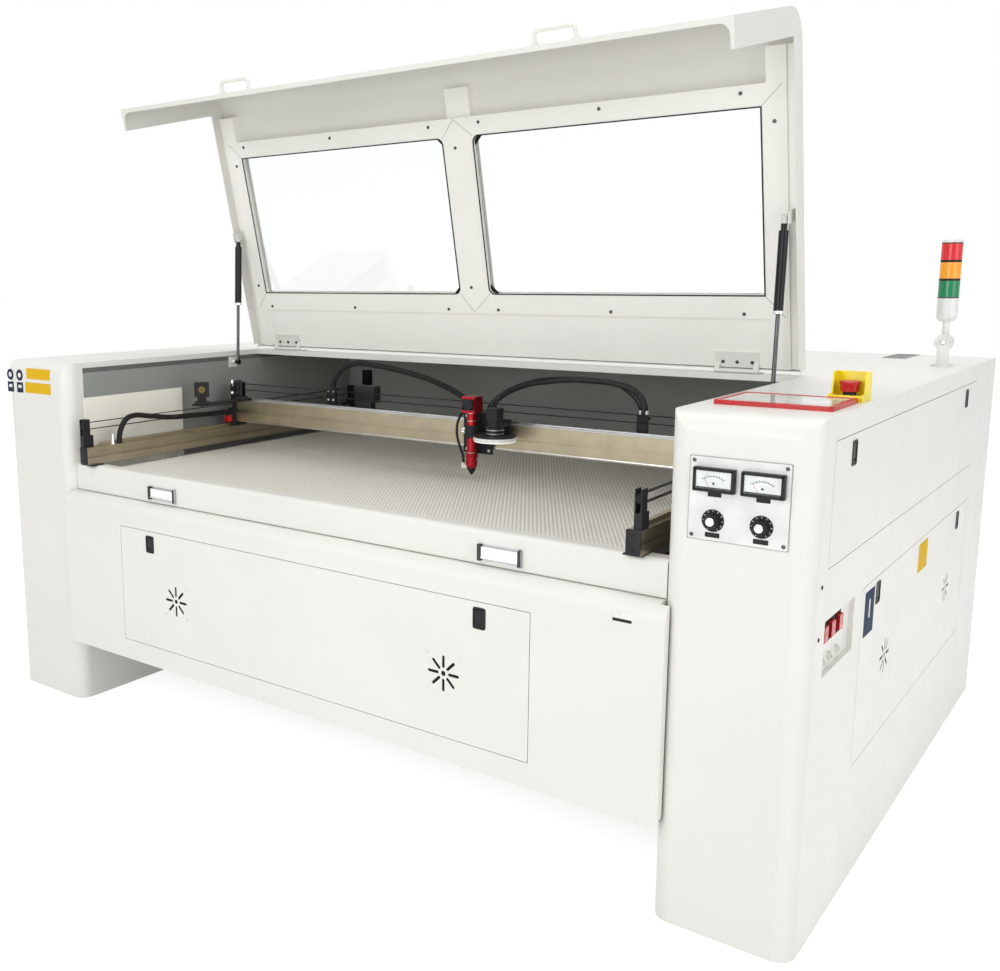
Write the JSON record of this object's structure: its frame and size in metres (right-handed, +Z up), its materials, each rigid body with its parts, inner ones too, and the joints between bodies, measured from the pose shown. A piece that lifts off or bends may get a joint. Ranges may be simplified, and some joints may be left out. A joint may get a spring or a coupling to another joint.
{
  "type": "laser cutting machine",
  "caption": "Large white floor-standing laser cutter with a raised windowed lid, gantry with laser head and camera, honeycomb table, control cabinet, signal tower and service doors.",
  "frame": {"origin": "centre of the footprint on the floor, with the lid open and the doors shut", "axes": "+X to the operator's right, +Y from the front to the back, +Z up"},
  "size_m": [2.4, 1.74, 1.831],
  "materials": {
    "white_paint": "smooth satin",
    "dark_paint": "matt",
    "slate_paint": "matt",
    "red_paint": "anodised gloss",
    "black_metal": "matt",
    "steel": "brushed",
    "chrome_part": "polished",
    "champagne_alu": "anodised satin",
    "alu": "satin",
    "black_plastic": "fine grain",
    "white_plastic": "smooth",
    "red_plastic": "gloss",
    "yellow_plastic": "gloss",
    "lamp_plastic": "clear coloured lens",
    "rubber": "matt",
    "glass": "clear"
  },
  "bodies": {
    "machine": {"left_cabinet": "white_paint", "right_cabinet": "white_paint", "rear_cover": "white_paint", "floor_pan": "white_paint", "inner_walls": "slate_paint", "front_panel": "white_paint", "front_ledge": "white_paint", "ledge_handle_plates": "steel", "hinge_leaves_body": "white_paint", "strut_brackets_body": "white_paint", "control_plate": "steel", "meters": "black_plastic", "touch_panel": "red_plastic", "estop_box": "yellow_plastic", "tower_mount": "white_plastic", "switch_plate": "white_paint", "y_rails": "champagne_alu", "rail_brackets": "black_metal", "y_belts": "rubber", "honeycomb_table": "alu", "laser_tube": "glass"},
    "lid": {"lid_skin": "white_paint", "lid_frame": "white_paint", "window_panes": "glass", "lid_handles": "white_paint", "hinge_leaves_lid": "white_paint", "strut_brackets_lid": "white_paint"},
    "tube_left": {"strut_tube_left": "black_metal"},
    "rod_left": {"strut_rod_left": "steel"},
    "tube_right": {"strut_tube_right": "black_metal"},
    "rod_right": {"strut_rod_right": "steel"},
    "door": {"front_door": "white_paint"},
    "latch_left": {"front_latch_left": "black_plastic"},
    "latch_right": {"front_latch_right": "black_plastic"},
    "hatch": {"side_hatch": "white_paint"},
    "hatch_latch_f": {"hatch_latch_front": "black_plastic"},
    "hatch_latch_r": {"hatch_latch_rear": "black_plastic"},
    "service_door": {"side_door": "white_paint"},
    "service_latch_f": {"side_latch_front": "black_plastic"},
    "service_latch_r": {"side_latch_rear": "black_plastic"},
    "bail_left": {"ledge_bail_left": "steel"},
    "bail_right": {"ledge_bail_right": "steel"},
    "dial_left": {"knob_left": "chrome_part"},
    "dial_right": {"knob_right": "chrome_part"},
    "stop_button": {"estop_button": "red_plastic"},
    "tower": {"tower_pole": "white_plastic", "tower_lamps": "lamp_plastic"},
    "switch_1": {"rocker_1": "red_plastic"},
    "switch_2": {"rocker_2": "red_plastic"},
    "switch_3": {"rocker_3": "red_plastic"},
    "gantry": {"x_beam": "champagne_alu", "beam_ends": "black_metal", "x_rail": "steel", "mirror_mount_arm": "black_metal", "mirror_mount_beam": "black_metal", "cable_bracket": "black_metal"},
    "carriage": {"head_plate": "black_metal", "head_camera": "black_plastic"},
    "focus": {"laser_head": "red_paint", "nozzle": "black_metal"}
  },
  "joints": [
    {"name": "lid_hinge", "type": "hinge", "parent": "machine", "child": "lid", "pos_m": [0.011, -0.058, 1.026], "axis": [1, 0, 0], "range_deg": [0, 77]},
    {"name": "tube_left_pivot", "type": "hinge", "parent": "lid", "child": "tube_left", "pos_m": [-0.875, -0.16439, 1.39349], "axis": [1, 0, 0], "range_deg": [0, 11.04]},
    {"name": "rod_left_stroke", "type": "slide", "parent": "tube_left", "child": "rod_left", "axis": [0, 0.0431, 0.9991], "range_m": [0, 0.1501]},
    {"name": "tube_right_pivot", "type": "hinge", "parent": "lid", "child": "tube_right", "pos_m": [0.897, -0.16439, 1.39349], "axis": [1, 0, 0], "range_deg": [0, 11.04]},
    {"name": "rod_right_stroke", "type": "slide", "parent": "tube_right", "child": "rod_right", "axis": [0, 0.0431, 0.9991], "range_m": [0, 0.1501]},
    {"name": "door_hinge", "type": "hinge", "parent": "machine", "child": "door", "pos_m": [-0.002, -0.864, 0.2615], "axis": [1, 0, 0], "range_deg": [0, 90]},
    {"name": "front_latch_left_pin", "type": "hinge", "parent": "door", "child": "latch_left", "pos_m": [-0.534, -0.867, 0.562], "axis": [-1, 0, 0], "range_deg": [0, 30]},
    {"name": "front_latch_right_pin", "type": "hinge", "parent": "door", "child": "latch_right", "pos_m": [0.53, -0.867, 0.562], "axis": [-1, 0, 0], "range_deg": [0, 30]},
    {"name": "hatch_hinge", "type": "hinge", "parent": "machine", "child": "hatch", "pos_m": [1.194, -0.092, 0.7495], "axis": [0, 1, 0], "range_deg": [0, 90]},
    {"name": "hatch_latch_front_pin", "type": "hinge", "parent": "hatch", "child": "hatch_latch_f", "pos_m": [1.197, -0.64, 0.954], "axis": [0, -1, 0], "range_deg": [0, 30]},
    {"name": "hatch_latch_rear_pin", "type": "hinge", "parent": "hatch", "child": "hatch_latch_r", "pos_m": [1.197, 0.455, 0.954], "axis": [0, -1, 0], "range_deg": [0, 30]},
    {"name": "service_door_hinge", "type": "hinge", "parent": "machine", "child": "service_door", "pos_m": [1.194, 0.05, 0.2705], "axis": [0, 1, 0], "range_deg": [0, 90]},
    {"name": "side_latch_front_pin", "type": "hinge", "parent": "service_door", "child": "service_latch_f", "pos_m": [1.197, -0.375, 0.623], "axis": [0, -1, 0], "range_deg": [0, 30]},
    {"name": "side_latch_rear_pin", "type": "hinge", "parent": "service_door", "child": "service_latch_r", "pos_m": [1.197, 0.465, 0.623], "axis": [0, -1, 0], "range_deg": [0, 30]},
    {"name": "bail_left_pin", "type": "hinge", "parent": "machine", "child": "bail_left", "pos_m": [-0.525, -0.8305, 0.691], "axis": [-1, 0, 0], "range_deg": [0, 90]},
    {"name": "bail_right_pin", "type": "hinge", "parent": "machine", "child": "bail_right", "pos_m": [0.553, -0.8305, 0.691], "axis": [-1, 0, 0], "range_deg": [0, 90]},
    {"name": "dial_left_turn", "type": "hinge", "parent": "machine", "child": "dial_left", "pos_m": [1.018, -0.855, 0.823], "axis": [0, -1, 0], "range_deg": [-150, 150]},
    {"name": "dial_right_turn", "type": "hinge", "parent": "machine", "child": "dial_right", "pos_m": [1.106, -0.855, 0.823], "axis": [0, -1, 0], "range_deg": [-150, 150]},
    {"name": "stop_press", "type": "slide", "parent": "machine", "child": "stop_button", "axis": [0, 0, -1], "range_m": [0, 0.005]},
    {"name": "tower_fold", "type": "hinge", "parent": "machine", "child": "tower", "pos_m": [1.135, 0.455, 1.084], "axis": [0, 1, 0], "range_deg": [-90, 0]},
    {"name": "rocker_1_pin", "type": "hinge", "parent": "machine", "child": "switch_1", "pos_m": [1.189, -0.738, 0.612], "axis": [0, 1, 0], "range_deg": [-8, 8]},
    {"name": "rocker_2_pin", "type": "hinge", "parent": "machine", "child": "switch_2", "pos_m": [1.189, -0.692, 0.612], "axis": [0, 1, 0], "range_deg": [-8, 8]},
    {"name": "rocker_3_pin", "type": "hinge", "parent": "machine", "child": "switch_3", "pos_m": [1.189, -0.641, 0.612], "axis": [0, 1, 0], "range_deg": [-8, 8]},
    {"name": "gantry_travel", "type": "slide", "parent": "machine", "child": "gantry", "axis": [0, 1, 0], "range_m": [-0.38, 0.54]},
    {"name": "head_travel", "type": "slide", "parent": "gantry", "child": "carriage", "axis": [1, 0, 0], "range_m": [-0.82, 0.56]},
    {"name": "focus_travel", "type": "slide", "parent": "carriage", "child": "focus", "axis": [0, 0, 1], "range_m": [-0.009, 0.04]}
  ],
  "couplings": [
    {"joint": "tube_left_pivot", "follows": "lid_hinge", "ratio": 0.14332},
    {"joint": "rod_left_stroke", "follows": "lid_hinge", "m_per_rad": 0.11168},
    {"joint": "tube_right_pivot", "follows": "lid_hinge", "ratio": 0.14332},
    {"joint": "rod_right_stroke", "follows": "lid_hinge", "m_per_rad": 0.11168}
  ]
}
